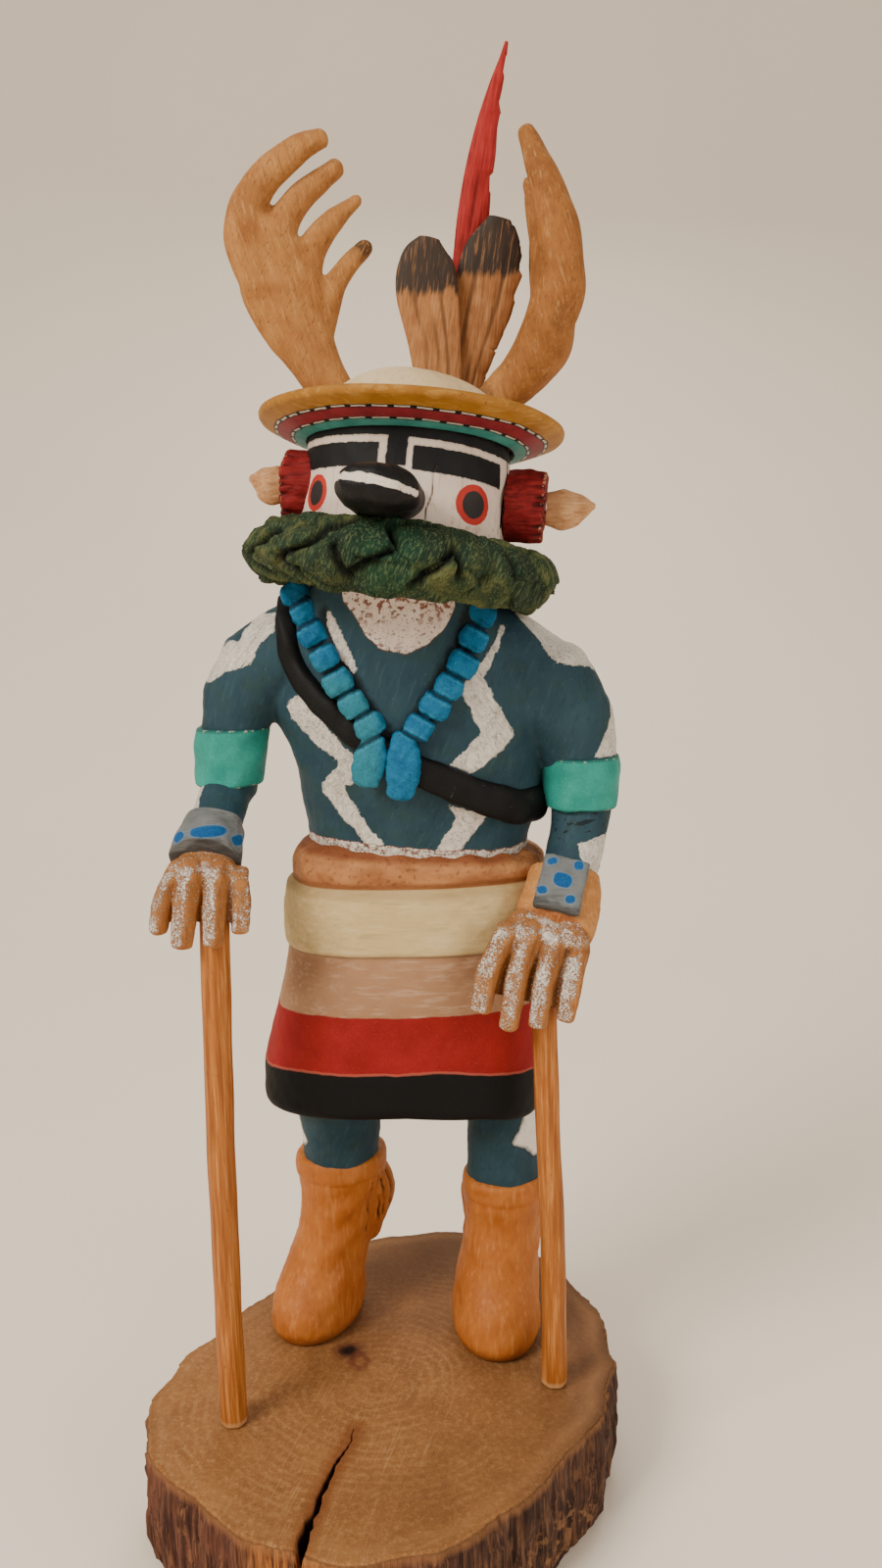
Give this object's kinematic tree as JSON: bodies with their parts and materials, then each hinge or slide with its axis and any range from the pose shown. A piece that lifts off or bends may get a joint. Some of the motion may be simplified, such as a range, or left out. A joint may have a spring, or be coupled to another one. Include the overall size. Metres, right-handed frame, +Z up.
{
  "type": "carved kachina doll",
  "caption": "Carved and painted kachina doll with antlers, feathers and a brimmed hat, leaning on canes on a slice of log.",
  "frame": {"origin": "middle of the log slice's flat underside, which rests on the ground", "axes": "+Z up, +Y behind the figure, so the mask faces -Y, and +X at the right hand of a viewer in front of it"},
  "size_m": [0.117, 0.13, 0.3391],
  "materials": {
    "log_wood": "sawn end grain with bark side",
    "brim_paint": "painted ochre with coloured bands below",
    "ruff_paint": "carved twigs, painted green",
    "figure_paint": "carved wood, matt mineral paint",
    "cane_wood": "bare dowel",
    "snout_paint": "painted black with a pale stripe",
    "rosette_paint": "fringed by short cuts, painted dark red",
    "ear_wood": "bare carved wood",
    "antler_wood": "bare carved wood, fuzzy fibres",
    "feather_wood": "carved wood, brushed dark tips",
    "feather_red": "painted red"
  },
  "bodies": {
    "root": {"log_slice": "log_wood", "hat_brim": "brim_paint", "spruce_ruff": "ruff_paint", "carved_figure": "figure_paint", "cane_left": "cane_wood", "cane_right": "cane_wood", "snout": "snout_paint", "ear_rosette_left": "rosette_paint", "ear_rosette_right": "rosette_paint", "ear_point_left": "ear_wood", "ear_point_right": "ear_wood", "antler_left": "antler_wood", "antler_right": "antler_wood", "feather_left": "feather_wood", "feather_right": "feather_wood", "feather_red": "feather_red"}
  },
  "joints": []
}
